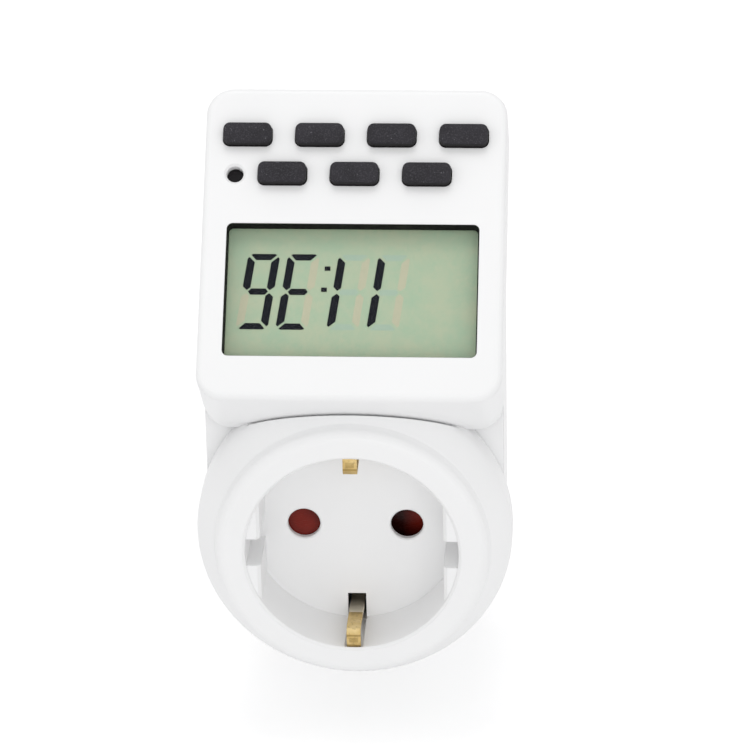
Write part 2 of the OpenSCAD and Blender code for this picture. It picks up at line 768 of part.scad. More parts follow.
module rear_housing() {
  color("white") {
    difference() {
      union() {
        intersection() {
          rear_body(0, split, body_depth, back_edge);
          behind_face(slab_back + 0.2);
        }
        nose();
      }
      intersection() {
        rear_body(wall, split - 1, wall_front, 0.4);
        behind_face(slab_back + 0.2 + wall);
      }
      // Room inside the nose
      intersection() {
        along(wall_front - 1, nose_end - nose_wall) circle(nose_d / 2 - 3.2);
        along(wall_front - 1, nose_end - nose_wall)
          square([nose_flat - 2 * nose_groove_t - 4, far], center = true);
      }
      for (x = [-1, 1]) translate([x * pin_spacing / 2, 0, 0])
        along(wall_front - 1, nose_end - nose_wall) circle(d = pin_head_d + 2 * touch);
      for (x = [-1, 1]) translate([x * pin_spacing / 2, 0, 0])
        along(nose_end - nose_wall - 1, nose_end + 1) circle(d = shank_d + touch);
      // Recesses for the plug's earth strip
      for (z = [-1, 1]) translate([0, 0, z * (nose_d / 2 - 0.2)])
        along(wall_front - 1, nose_end - 5) square([strap_w + 1, 2.6], center = true);
      for (p = screw_at) screw_hole(p);
    }
    for (p = screw_at) difference() {
      translate([p[0], 0, p[1]]) along(split, wall_front + 0.5) circle(screw_boss_r);
      screw_hole(p);
    }
    // Bosses under the power board
    for (p = board_screw_at) translate([p[0], 0, p[1]]) difference() {
      along(power_back, wall_front + 0.5) circle(board_boss_r);
      along(power_back - 1, wall_front) circle(0.9);
    }
  }
}

module plug_earth_strip() {
  out = nose_d / 2 - 0.4 - brass_t / 2;
  path = [[nose_end - 5.6, out - 0.3], [nose_end - 7, out + 0.1], [body_depth, out], [earth_bar, out],
    [earth_bar, 0]];
  color([0.83, 0.66, 0.28]) {
    strip(0, strap_w, brass_t, path);
    mirror([0, 0, 1]) strip(0, strap_w, brass_t, path);
    translate([0, 0, -9]) along(carrier_back + brass_t, earth_bar) square([strap_w, brass_t], center = true);
  }
}

module plug_pin(x) {
  end = nose_end + pin_len;
  color([0.82, 0.8, 0.74]) translate([x, 0, 0]) {
    along(pin_head, pin_head + pin_head_t) circle(d = pin_head_d);
    turned([[0, pin_head + 0.5], [shank_d / 2, pin_head + 0.5], [shank_d / 2, nose_end],
      [pin_d / 2, nose_end], [pin_d / 2, end - 1.2],
      [pin_d / 2 - 0.35, end - 0.4], [pin_d / 2 - 1, end], [0, end]]);
  }
}

module live_pin() { plug_pin(pin_spacing / 2); }
module neutral_pin() { plug_pin(-pin_spacing / 2); }

module live_strap() {
  color([0.8, 0.63, 0.25]) strip(pin_spacing / 2, strap_w, brass_t,
    [[pin_head, strap_z], [earth_bar, strap_z], [earth_bar, power_low + 4], [power_back, power_low + 4]]);
}

module neutral_strap() {
  color([0.8, 0.63, 0.25]) strip(-pin_spacing / 2, strap_w, brass_t,
    [[pin_head, strap_z], [carrier_back + 3, strap_z], [carrier_back + 3, 0], [carrier_back, 0]]);
}

module load_strap() {
  turn = power_front - 3.2;
  color([0.8, 0.63, 0.25]) strip(pin_spacing / 2, strap_w, brass_t,
    [[carrier_back, 0], [turn, 0], [turn, power_low + 1], [power_front, power_low + 1]]);
}

module power_board() {
  color([0.55, 0.42, 0.2]) difference() {
    translate([0, 0, (power_low + power_high) / 2])
      along(power_front, power_back) pad(power_w, power_high - power_low, 1);
    for (p = board_screw_at) translate([p[0], 0, p[1]])
      along(power_front - 1, power_back + 1) circle(1.1);
  }
}

module board_screws() {
  color([0.75, 0.75, 0.78]) for (p = board_screw_at) translate([p[0], 0, p[1]]) {
    along(power_front - 1.1, power_front) circle(1.8);
    along(power_front, power_back + 1.8) circle(0.85);
  }
}

// A block standing on the power board's front
module block(x, z, w, h, tall) {
  translate([x, 0, z]) along(power_front - tall, power_front) pad(w, h, 0.6);
}

module relay() {
  color([0.1, 0.25, 0.55]) block(-8.5, 28.6, 17, 15, 15);
}

module film_capacitor() {
  color([0.85, 0.7, 0.15]) block(9, 27.6, 13, 5, 11);
}

module smoothing_capacitor() {
  color([0.12, 0.12, 0.16]) translate([8.5, 0, 35.6]) along(power_front - 11, power_front) circle(4);
}

module varistor() {
  color([0.15, 0.3, 0.6]) block(-8, 39.6, 7, 4, 7);
}

module fuse() {
  r = 1.8;
  color([0.8, 0.75, 0.65]) translate([-8, rim_y + power_front - r - touch, 45.6]) rotate([0, 90, 0])
    cylinder(r = r, h = 16);
}

module ribbon_cable() {
  start = [depth_at(ribbon_s, board_back), height_at(ribbon_s, board_back)];
  pass = [depth_at(ribbon_s, slab_back + 2), height_at(ribbon_s, slab_back + 2)];
  color([0.75, 0.76, 0.8]) strip(ribbon_x, 6, 0.6,
    [start, pass, pass + [6, -3], [power_front - 6, power_low - 2], [power_front - 2, power_low + 0.6],
     [power_front - 0.3, power_low + 1.1]]);
}

module housing_screws() {
  color([0.75, 0.75, 0.78]) for (p = screw_at) translate([p[0], 0, p[1]]) {
    along(split - 9, screw_seat) circle(d = screw_d);
    along(screw_seat, screw_seat + 2) circle(d = screw_head_d);
  }
}

front_cover();
window_pane();
lcd_glass();
lcd_digits();
lcd_frame();
zebra_strips();
display_board();
controller_blob();
backup_cell();
key_mat();
mode_key();
enter_key();
clock_key();
clear_key();
minute_key();
hour_key();
week_key();
reset_key();
cover_screws();
main_housing();
shutter();
shutter_spring();
shutter_screw();
contact_carrier();
live_contact();
neutral_contact();
earth_strip();
rear_housing();
plug_earth_strip();
live_pin();
neutral_pin();
live_strap();
neutral_strap();
load_strap();
power_board();
board_screws();
relay();
film_capacitor();
smoothing_capacitor();
varistor();
fuse();
ribbon_cable();
housing_screws();
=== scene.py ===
from math import cos, pi, radians, sin, sqrt

import bmesh
import bpy
from mathutils import Matrix, Vector


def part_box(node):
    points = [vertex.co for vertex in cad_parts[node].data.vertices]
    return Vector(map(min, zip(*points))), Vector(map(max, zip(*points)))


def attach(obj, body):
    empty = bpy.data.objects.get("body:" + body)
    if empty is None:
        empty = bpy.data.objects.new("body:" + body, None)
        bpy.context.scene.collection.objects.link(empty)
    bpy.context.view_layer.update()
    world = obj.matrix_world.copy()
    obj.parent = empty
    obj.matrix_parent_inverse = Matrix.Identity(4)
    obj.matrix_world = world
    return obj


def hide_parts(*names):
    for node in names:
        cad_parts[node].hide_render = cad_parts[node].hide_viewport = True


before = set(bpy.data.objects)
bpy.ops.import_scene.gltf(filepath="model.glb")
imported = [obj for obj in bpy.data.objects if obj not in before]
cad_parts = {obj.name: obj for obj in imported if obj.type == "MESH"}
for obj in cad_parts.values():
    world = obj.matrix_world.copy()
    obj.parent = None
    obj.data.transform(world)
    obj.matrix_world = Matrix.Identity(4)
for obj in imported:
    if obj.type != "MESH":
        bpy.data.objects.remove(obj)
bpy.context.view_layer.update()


# The studio: a long lens looking down on the timer from the front and slightly
# from the right, a pale floor under it, and broad soft lamps above and in front.
# Its sizes are metres.

class Paint:
    """A socket in one finish's node tree. Sums of sockets add their Math nodes."""

    def __init__(self, tree, socket=None):
        self.tree, self.socket = tree, socket

    def node(self, kind, values=None, out=0, **settings):
        """Adds any other node: its settings first, then the values or links of its sockets."""
        made = self.tree.nodes.new("ShaderNode" + kind)
        stops = settings.pop("stops", [])
        for name, value in settings.items():
            setattr(made, name, value)
        while stops and len(made.color_ramp.elements) < len(stops):
            made.color_ramp.elements.new(1.0)
        for place, (where, tone) in enumerate(stops):
            made.color_ramp.elements[place].position = where
            made.color_ramp.elements[place].color = (*tone, 1.0)
        for name, value in (values or {}).items():
            if isinstance(value, Paint):
                self.tree.links.new(value.socket, made.inputs[name])
            else:
                made.inputs[name].default_value = value
        return Paint(self.tree, made.outputs[out] if made.outputs else None)

    def sum(self, operation, a, b=0.0):
        return self.node("Math", {0: a, 1: b}, operation=operation)

    def __add__(self, other):
        return self.sum("ADD", self, other)

    def __sub__(self, other):
        return self.sum("SUBTRACT", self, other)

    def __rsub__(self, other):
        return self.sum("SUBTRACT", other, self)

    def __mul__(self, other):
        return self.sum("MULTIPLY", self, other)

    def __truediv__(self, other):
        return self.sum("DIVIDE", self, other)

    def __gt__(self, other):
        return self.sum("GREATER_THAN", self, other)

    def __lt__(self, other):
        return self.sum("LESS_THAN", self, other)

    def __abs__(self):
        return self.sum("ABSOLUTE", self)

    __radd__, __rmul__ = __add__, __mul__

    def mix(self, low, high):
        """Between two colours, by this socket."""
        low, high = [c if isinstance(c, Paint) else (*c, 1.0) for c in (low, high)]
        return self.node("Mix", {0: self, 6: low, 7: high}, out=2, data_type="RGBA")

    def noise(self, where, scale, detail=2.0, roughness=0.5):
        return self.node("TexNoise", {
            "Vector": where, "Scale": scale, "Detail": detail, "Roughness": roughness})

    def ramp(self, *stops):
        return self.node("ValToRGB", {"Fac": self}, stops=stops)


def new_finish(name):
    """A material without nodes yet, its paint, and the place on the object in metres."""
    made = bpy.data.materials.new(name)
    made.use_nodes = True
    made.node_tree.nodes.clear()
    paint = Paint(made.node_tree)
    return made, paint, paint.node("TexCoord", out="Object")


scene = bpy.context.scene
scene.view_settings.view_transform = "Standard"


def studio_floor():
    """A pale sheet under the timer, which reaches far behind it and glows faintly to the camera."""
    reach, back, gap, glow = 4.0, 1.5, 0.012, 0.3
    floor_white, paint, where = new_finish("studio_floor")
    fleck = paint.noise(where, 25.0)
    tone = fleck.ramp((0.35, (0.86, 0.86, 0.865)), (0.65, (0.88, 0.88, 0.88)))
    plain = paint.node("BsdfDiffuse", {"Color": tone})
    seen = paint.node("LightPath", out="Is Camera Ray") + paint.node("LightPath", out="Is Glossy Ray")
    shine = paint.node("Emission", {"Color": (1, 1, 1, 1), "Strength": seen * glow})
    paint.node("OutputMaterial", {"Surface": paint.node("AddShader", {0: plain, 1: shine})})
    sheet = bmesh.new()
    bmesh.ops.create_grid(sheet, x_segments=8, y_segments=8, size=reach)
    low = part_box("main_housing")[0].z - gap
    bmesh.ops.translate(sheet, verts=sheet.verts, vec=(0, back, low))
    mesh = bpy.data.meshes.new("floor")
    sheet.to_mesh(mesh)
    sheet.free()
    mesh.materials.append(floor_white)
    floor = bpy.data.objects.new("floor", mesh)
    scene.collection.objects.link(floor)


studio_floor()

# The room is plain white to look at, and a little dimmer as a light.
room_light = 0.78
room = bpy.data.worlds.new("room")
room.use_nodes = True
room.node_tree.nodes.clear()
air = Paint(room.node_tree)
plain_view = air.node("LightPath", out="Is Camera Ray") + air.node("LightPath", out="Is Glossy Ray")
plain_view = plain_view + air.node("LightPath", out="Is Transmission Ray")
air.node("OutputWorld", {"Surface": air.node("Background", {
    "Color": (1, 1, 1, 1), "Strength": room_light + (1 - room_light) * plain_view})})
scene.world = room

for name, place, aim, size, watts in [
        ("lamp_above", (-0.05, -0.03, 1.00), (0, -0.06, 0.02), 0.45, 1.65),
        ("lamp_front", (0.25, -1.10, 0.25), (0, -0.07, 0.02), 0.8, 2.2),
        ("lamp_left", (-0.9, -0.45, 0.35), (0, -0.07, 0.0), 0.7, 0.3)]:
    lamp = bpy.data.lights.new(name, "AREA")
    lamp.shape, lamp.size, lamp.energy = "SQUARE", size, watts
    holder = bpy.data.objects.new(name, lamp)
    holder.location = place
    holder.rotation_euler = (Vector(aim) - Vector(place)).to_track_quat("-Z", "Y").to_euler()
    scene.collection.objects.link(holder)

# The camera's place, aim and roll were fitted to the photo.
camera_place = Vector((0.05324, -0.78769, 0.39253))
camera_aim = Vector((0.00496, -0.071, 0.03667))
camera_roll = radians(-1.152)
lens = bpy.data.cameras.new("photo_lens")
lens.lens, lens.sensor_width = 216.0, 36.0
lens.clip_start, lens.clip_end = 0.05, 20.0
camera = bpy.data.objects.new("photo_camera", lens)
camera.rotation_euler = ((camera_aim - camera_place).to_track_quat("-Z", "Y").to_matrix()
                         @ Matrix.Rotation(camera_roll, 3, "Z")).to_euler()
camera.location = camera_place
scene.collection.objects.link(camera)
scene.camera = camera


# The rear housing: the body's back and the plug's nose in one ABS moulding, white,
# with a finely spark-eroded satin surface and edges that the mould leaves soft.

# The object's sizes are millimetres, and become metres where a mesh is finished.
mm = 0.001


def lay(paint, colour, roughness, height=None, depth=0.0, soften=0.0, **fixed):
    """Closes a finish: its colour, roughness and relief on the Principled shader."""
    values = {"Base Color": colour, "Roughness": roughness}
    values.update({name.replace("_", " "): value for name, value in fixed.items()})
    normal = paint.node("Bevel", {"Radius": soften * mm}, samples=4) if soften else None
    if height:
        relief = {"Height": height, "Distance": depth * mm, "Strength": 1.0}
        if normal:
            relief["Normal"] = normal
        normal = paint.node("Bump", relief)
    if normal:
        values["Normal"] = normal
    surface = paint.node("BsdfPrincipled", values)
    paint.node("OutputMaterial", {"Surface": surface})


def moulded_white():
    made, paint, where = new_finish("moulded_white")
    cloud = paint.noise(where, 45.0, 3.0)
    grain = paint.noise(where, 5200.0, 1.0)
    flow = paint.noise(where, 420.0, 2.0)
    tone = cloud.ramp((0.3, (0.892, 0.894, 0.898)), (0.7, (0.908, 0.909, 0.912)))
    lay(paint, tone, 0.36 + 0.1 * cloud + 0.05 * grain, height=grain + 0.35 * flow, depth=0.008,
        soften=0.22, Specular_IOR_Level=0.45)
    return made


def dress(piece, finish):
    """Gives a CAD node, or a new piece, one finish all over."""
    piece.data.materials.clear()
    piece.data.materials.append(finish)
    return piece


white = moulded_white()
dress(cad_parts["rear_housing"], white)


# The plug: two nickel-plated pins pressed into the nose, turned from bar and
# polished, and the earth strip that lies in the nose's flats, stamped from brass.

def plated_nickel():
    made, paint, where = new_finish("plated_nickel")
    rings = paint.noise(where, 90.0)
    turned = paint.node("TexWave", {"Vector": where, "Scale": 1400.0, "Distortion": 1.5, "Detail": 2.0},
                        out=1, bands_direction="Y")
    wear = paint.noise(where, 300.0, 4.0) > 0.62
    tone = (wear * 0.5).mix((0.74, 0.71, 0.66), (0.66, 0.55, 0.34))
    lay(paint, rings.mix(tone, (0.78, 0.76, 0.72)), 0.2 + 0.1 * rings + 0.08 * wear,
        height=turned, depth=0.002, soften=0.15, Metallic=1.0)
    return made


def stamped_brass(name, pocket_at=None, painted_light_from=None):
    """Rolled brass. A clip has a stamped pocket at a distance from the axis and a crease beside it, both
    darker as painted shade, and is paler deep inside as painted light.
    """
    made, paint, where = new_finish(name)
    cloud = paint.noise(where, 350.0, 3.0)
    rolled = paint.noise(paint.node("Mapping", {"Vector": where, "Scale": (9.0, 1.0, 1.0)}), 900.0, 3.0)
    stain = paint.noise(where, 1500.0, 2.0)
    tone = cloud.ramp((0.25, (0.42, 0.29, 0.11)), (0.5, (0.60, 0.43, 0.17)), (0.8, (0.76, 0.60, 0.31)))
    tone, relief = (0.4 * (stain > 0.6)).mix(tone, (0.36, 0.25, 0.11)), rolled + 0.5 * cloud
    if pocket_at:
        half_w, half_h, crease_gap, half_crease = 0.8 * mm, 0.5 * mm, 0.95 * mm, 0.2 * mm
        x, y, z = [paint.node("SeparateXYZ", {0: where}, out=k) for k in range(3)]
        pocket = (abs(x) < half_w) * (abs(abs(z) - pocket_at * mm) < half_h)
        crease = abs(abs(z) - (pocket_at * mm - crease_gap)) < half_crease
        # The pocket and the crease are darkened as painted shade in their hollows.
        tone = (0.4 * pocket + 0.6 * crease).mix(tone, (0.22, 0.14, 0.03))
        # Painted light: paler brass deep in the slot, where the clip lies in shade.
        tone = (y > painted_light_from * mm).mix(tone, (0.92, 0.83, 0.66))
        relief = relief - 4.0 * pocket - 3.0 * crease
    lay(paint, tone, 0.3 + 0.18 * rolled, height=relief, depth=0.008, soften=0.16, Metallic=0.7)
    return made


nickel, brass = plated_nickel(), stamped_brass("stamped_brass")
for name in ("live_pin", "neutral_pin"):
    dress(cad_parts[name], nickel)
dress(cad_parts["plug_earth_strip"], brass)


# The power board: brown pressed-paper laminate with etched copper tracks under a
# thin lacquer. The parts' tinned leads pass through it and end in solder cones.

# The socket frame: x right, y up and z out of the wall, from the middle of the rim.
rim_y = -71.0
socket_place = Matrix(((1, 0, 0, 0), (0, 0, -1, rim_y * mm), (0, 1, 0, 0), (0, 0, 0, 1)))


def span(name):
    """A CAD node's low and high corner in the socket frame, in millimetres."""
    low, high = [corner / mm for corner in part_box(name)]
    return Vector((low.x, low.z, rim_y - high.y)), Vector((high.x, high.z, rim_y - low.y))


power_back, power_front = [corner.z for corner in span("power_board")]


def etched_board(name, low, high, track, pitch):
    """A laminate whose tracks run in straight bundles, turning from patch to patch."""
    patch_size, half_track = 4.5 * pitch, 0.24
    made, paint, where = new_finish(name)
    fibre = paint.noise(paint.node("Mapping", {"Vector": where, "Scale": (1.0, 4.0, 1.0)}), 700.0, 4.0)
    patch = paint.node("TexVoronoi", {"Vector": where, "Scale": 1 / (patch_size * mm)}, out="Color",
                       distance="CHEBYCHEV")
    x, z = [paint.node("SeparateXYZ", {0: where}, out=k) for k in (0, 2)]
    lanes = [abs(paint.sum("FRACT", way * (1 / (pitch * mm))) - 0.5) < half_track for way in (x, z)]
    turn = patch > 0.5
    tracks = turn * lanes[0] + (1 - turn) * lanes[1]
    tone = fibre.ramp((0.3, low), (0.7, high))
    lay(paint, tracks.mix(tone, track), 0.34 + 0.15 * fibre, height=tracks + 0.2 * fibre, depth=0.03,
        Specular_IOR_Level=0.5)
    return made


class Recipe(Paint):
    """A Geometry Nodes tree: named inputs, then nodes, and the geometry that it gives."""

    @classmethod
    def named(cls, title, sizes):
        """Starts a tree with an input for each size, and one for the finish."""
        tree = bpy.data.node_groups.new(title, "GeometryNodeTree")
        kinds = {float: "NodeSocketFloat", tuple: "NodeSocketVector", type(None): "NodeSocketMaterial"}
        tree.interface.new_socket("Base", in_out="INPUT", socket_type="NodeSocketGeometry")
        tree.interface.new_socket("Made", in_out="OUTPUT", socket_type="NodeSocketGeometry")
        for label, size in {**sizes, "Finish": None}.items():
            tree.interface.new_socket(label, in_out="INPUT", socket_type=kinds[type(size)])
        given = tree.nodes.new("NodeGroupInput")
        made = cls(tree)
        made.sizes, made.given = sizes, {s.name: Recipe(tree, s) for s in given.outputs if s.name}
        return made

    def step(self, kind, values=None, out=0, **settings):
        """Adds a geometry node. A list of values on one socket is joined there."""
        added = self.tree.nodes.new("GeometryNode" + kind)
        for name, value in settings.items():
            setattr(added, name, value)
        for name, value in (values or {}).items():
            for one in value if isinstance(value, list) else [value]:
                if isinstance(one, Paint):
                    self.tree.links.new(one.socket, added.inputs[name])
                else:
                    added.inputs[name].default_value = one
        return Recipe(self.tree, added.outputs[out])

    def vector(self, x, y, z):
        return self.node("CombineXYZ", {0: x, 1: y, 2: z})

    def raised(self, geometry, z):
        return self.step("Transform", {"Geometry": geometry, "Translation": self.vector(0.0, 0.0, z)})

    def pad(self, width, height, corner, count):
        """The outline of a rectangle with rounded corners."""
        plain = self.step("CurvePrimitiveQuadrilateral", {"Width": width, "Height": height})
        return self.step("FilletCurve", {"Curve": plain, "Radius": corner, "Count": count}, mode="POLY")

    def done(self, geometry):
        whole = self.step("RealizeInstances", {"Geometry": geometry})
        dressed = self.step("SetMaterial", {"Geometry": whole, "Material": self.given["Finish"]})
        self.tree.links.new(dressed.socket, self.tree.nodes.new("NodeGroupOutput").inputs[0])
        return self


def finished(name, form, place, smooth=40):
    """Makes a form, in millimetres, a plain closed piece with its place in its mesh, in metres.

    Edges that turn by more than the smooth angle, in degrees, stay sharp.
    """
    bmesh.ops.remove_doubles(form, verts=form.verts, dist=0.0005)
    bmesh.ops.holes_fill(form, edges=form.edges, sides=0)
    bmesh.ops.recalc_face_normals(form, faces=form.faces)
    mesh = bpy.data.meshes.new(name)
    form.to_mesh(mesh)
    form.free()
    mesh.transform(place @ Matrix.Scale(mm, 4))
    mesh.shade_smooth()
    mesh.set_sharp_from_angle(angle=radians(smooth))
    piece = bpy.data.objects.new(name, mesh)
    scene.collection.objects.link(piece)
    return piece


def cook(name, recipe, base, finish, place, sizes=None, smooth=35):
    """Runs a recipe, with its own sizes or these, on a base of points and edges, into a plain piece."""
    mesh = bpy.data.meshes.new(name + "_base")
    mesh.from_pydata(*base, [])
    raw = bpy.data.objects.new(name + "_base", mesh)
    scene.collection.objects.link(raw)
    grow = raw.modifiers.new("grow", "NODES")
    grow.node_group = recipe.tree
    sockets = {s.name: s.identifier for s in recipe.tree.interface.items_tree if s.in_out == "INPUT"}
    for label, size in {**recipe.sizes, **(sizes or {}), "Finish": finish}.items():
        grow[sockets[label]] = size
    raw.update_tag()
    bpy.context.view_layer.update()
    grown = bpy.data.meshes.new_from_object(raw.evaluated_get(bpy.context.evaluated_depsgraph_get()))
    bpy.data.objects.remove(raw)
    form = bmesh.new()
    form.from_mesh(grown)
    piece = finished(name, form, place, smooth)
    bpy.data.meshes.remove(grown)
    return dress(piece, finish)


def fit(piece, body, slot, *nodes):
    """Puts a finished piece on its body, in place of the CAD nodes it stands for. The slot is not used.
    """
    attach(piece, body)
    if nodes:
        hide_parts(*nodes)
    return piece


def zinc_steel():
    made, paint, where = new_finish("zinc_steel")
    cloud = paint.noise(where, 500.0, 3.0)
    spot = paint.noise(where, 2600.0, 2.0)
    tone = cloud.ramp((0.3, (0.52, 0.53, 0.55)), (0.7, (0.68, 0.69, 0.71)))
    lay(paint, tone, 0.28 + 0.2 * spot, height=spot, depth=0.004, soften=0.08, Metallic=1.0)
    return made


def solder_recipe():
    make = Recipe.named("solder_cones", {"Foot": 1.0, "Neck": 0.38, "Height": 0.8})
    get = make.given
    cone = make.step("MeshCone", {"Vertices": 16, "Radius Top": get["Neck"], "Radius Bottom": get["Foot"],
                                  "Depth": get["Height"]})
    stub = make.step("MeshCylinder", {
        "Vertices": 10, "Radius": get["Neck"] * 0.7, "Depth": get["Height"] * 1.3})
    one = make.step("JoinGeometry", {"Geometry": [cone, stub]})
    return make.done(make.step("InstanceOnPoints", {"Points": get["Base"], "Instance": one,
                                                    "Rotation": (pi, 0.0, 0.0)}))


def wire_recipe():
    make = Recipe.named("leads", {"Radius": 0.32})
    get = make.given
    path = make.step("MeshToCurve", {"Mesh": get["Base"]})
    round_wire = make.step("CurvePrimitiveCircle", {"Resolution": 10, "Radius": get["Radius"]})
    return make.done(make.step("CurveToMesh", {
        "Curve": path, "Profile Curve": round_wire, "Fill Caps": True}))


steel = zinc_steel()
dress(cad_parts["power_board"], etched_board(
    "phenolic_board", (0.30, 0.17, 0.06), (0.38, 0.23, 0.09), (0.42, 0.25, 0.08), pitch=2.2))

# Across and up, in the socket frame: the leads that show, and all soldered joints.
leads_at = [(-10.4, 39.6), (-5.6, 39.6), (-7.2, 45.6), (7.2, 45.6)]
joints_at = [(-15.5, 22.6), (-15.5, 34.6), (-8.5, 34.6), (-1.5, 22.6), (-1.5, 34.6), (4.0, 27.6),
             (14.0, 27.6), (8.5, 33.6), (8.5, 37.6), *leads_at, (9.5, 20.6), (9.5, 23.6), (3.5, 20.6)]
solder, solder_sunk = solder_recipe(), 0.05
joint_z = power_back + solder_sunk - solder.sizes["Height"] / 2
fit(cook("solder_joints", solder, ([(x, y, joint_z) for x, y in joints_at], []), steel, socket_place),
    "casing", "bare_steel")
lead_in, lead_out = 0.2, 1.4
lead_ends = [(x, y, power_front + z) for x, y in leads_at for z in (-lead_in, lead_out)]
lead_pairs = [(2 * i, 2 * i + 1) for i in range(len(leads_at))]
fit(cook("tinned_leads", wire_recipe(), (lead_ends, lead_pairs), steel, socket_place),
    "casing", "bare_steel")


# The parts on the power board: a relay and a film capacitor in glossy moulded
# boxes, an aluminium can in a shrink sleeve, a dipped disc and a ceramic fuse.

def moulding(name, low, high, roughness, relief=0.01, **fixed):
    """A plain coloured moulding, slightly cloudy, with a fine skin."""
    made, paint, where = new_finish(name)
    cloud = paint.noise(where, 120.0, 3.0)
    grain = paint.noise(where, 2600.0, 2.0)
    lay(paint, cloud.ramp((0.3, low), (0.7, high)), roughness + 0.12 * grain, height=grain, depth=relief,
        soften=0.1, **fixed)
    return made


def blocks(name, parts, finish, place):
    """One mesh of closed blocks: each has its low and high corner, and the radius of its edges."""
    form = bmesh.new()
    for low, high, edge in parts:
        block = bmesh.ops.create_cube(form, size=1.0)["verts"]
        for corner in block:
            corner.co = [low[k] if corner.co[k] < 0 else high[k] for k in range(3)]
        edges = list({e for corner in block for e in corner.link_edges})
        bmesh.ops.bevel(form, geom=edges, offset=edge, segments=3, profile=0.5, affect="EDGES")
    return dress(finished(name, form, place), finish)


def spun(name, profile, finish, place, steps=48, smooth=40):
    """A closed turned form, from a profile of radius and height that starts and ends on the axis."""
    form = bmesh.new()
    ring = [form.verts.new((r, 0, h)) for r, h in profile]
    sides = [form.edges.new(pair) for pair in zip(ring, ring[1:])]
    bmesh.ops.spin(form, geom=ring + sides, cent=(0, 0, 0), axis=(0, 0, 1), angle=2 * pi, steps=steps)
    return dress(finished(name, form, place, smooth), finish)


def at(x, y, z):
    return Matrix.Translation((x * mm, y * mm, z * mm))


def boxed(name, gap, foot, inset, edge, crown=0.0):
    """A box the size of its CAD node, held off the board by a narrower foot."""
    low, high = span(name)
    case = (low + Vector((0, 0, gap)), high - Vector((0, 0, crown)), edge)
    aside, foot_edge = Vector((inset, inset, 0)), 0.15
    stand = (low + aside, Vector((high.x, high.y, low.z + foot)) - aside, foot_edge)
    return [case, stand]


def vent(name, size, height, across, down):
    """A small square vent near the upper left corner of a box, up to its CAD node's front."""
    low, high = span(name)
    corner, vent_edge = Vector((low.x + across, high.y - down - size, high.z - height)), 0.12
    return corner, corner + Vector((size, size, height)), vent_edge


relay_blue = moulding("relay_blue", (0.02, 0.09, 0.34), (0.03, 0.12, 0.42), 0.28)
relay_form = boxed("relay", gap=0.5, foot=0.7, inset=0.3, edge=0.6, crown=0.2)
relay_form.append(vent("relay", size=1.4, height=0.4, across=1.2, down=1.3))
fit(blocks("relay_case", relay_form, relay_blue, socket_place), "casing", "blue_case", "relay")

film_yellow = moulding("film_yellow", (0.66, 0.45, 0.03), (0.76, 0.54, 0.05), 0.3)
film_form = boxed("film_capacitor", gap=0.3, foot=0.6, inset=0.4, edge=0.5)
fit(blocks("film_case", film_form, film_yellow, socket_place), "casing", "yellow_case", "film_capacitor")

# Turned parts have a list of radius and height. The can's starts at the board, and its
# sleeve is shrunk round a crimped groove. The disc's and the fuse's start in the middle.
can_side = [(0, 0), (3.5, 0), (3.8, 0.6), (3.55, 1.3), (3.55, 1.8), (3.95, 2.5), (4, 3), (4, 10),
            (3.85, 10.6), (3.4, 10.95), (3.1, 11), (3.05, 10.7), (0, 10.7)]
sleeve_black = moulding("sleeve_black", (0.02, 0.02, 0.035), (0.035, 0.035, 0.05), 0.25)
can_at = (8.5, 35.6, power_front)
fit(spun("can_sleeve", can_side, sleeve_black, socket_place @ at(*can_at)),
    "casing", "black_sleeve", "smoothing_capacitor")

disc_side = [(0, -1.5), (1.8, -1.65), (2.8, -1.5), (3.3, -0.9), (3.5, 0), (3.3, 0.9), (2.8, 1.5),
             (1.8, 1.65), (0, 1.5)]
dipped_blue = moulding("dipped_blue", (0.03, 0.12, 0.36), (0.05, 0.17, 0.45), 0.35, relief=0.03)
disc_at = (-8, rim_y + 44.7, 39.6)
fit(spun("dipped_disc", disc_side, dipped_blue, at(*disc_at), smooth=60),
    "casing", "blue_ceramic", "varistor")

tube_side = [(0, -6), (1.6, -6), (1.6, 6), (0, 6)]
end_side = [(0, -8), (1.62, -8), (1.8, -7.85), (1.8, -5.2), (1.66, -5.1), (0, -5.1)]
ceramic = moulding("fuse_ceramic", (0.66, 0.58, 0.44), (0.74, 0.67, 0.52), 0.5)
fuse_at = (0, rim_y + 46.3, 45.6)
along_x = at(*fuse_at) @ Matrix.Rotation(pi / 2, 4, "Y")
fit(spun("fuse_tube", tube_side, ceramic, along_x), "casing", "fuse_ceramic", "fuse")
for end, way in (("left", 1), ("right", -1)):
    fit(spun("fuse_cap_" + end, [(r, way * h) for r, h in end_side], steel, along_x),
        "casing", "bare_steel")


# Screws of zinc-plated steel, all with a domed head and a cross recess. One
# recipe makes them; each group has its own head, shank, length and pitch.

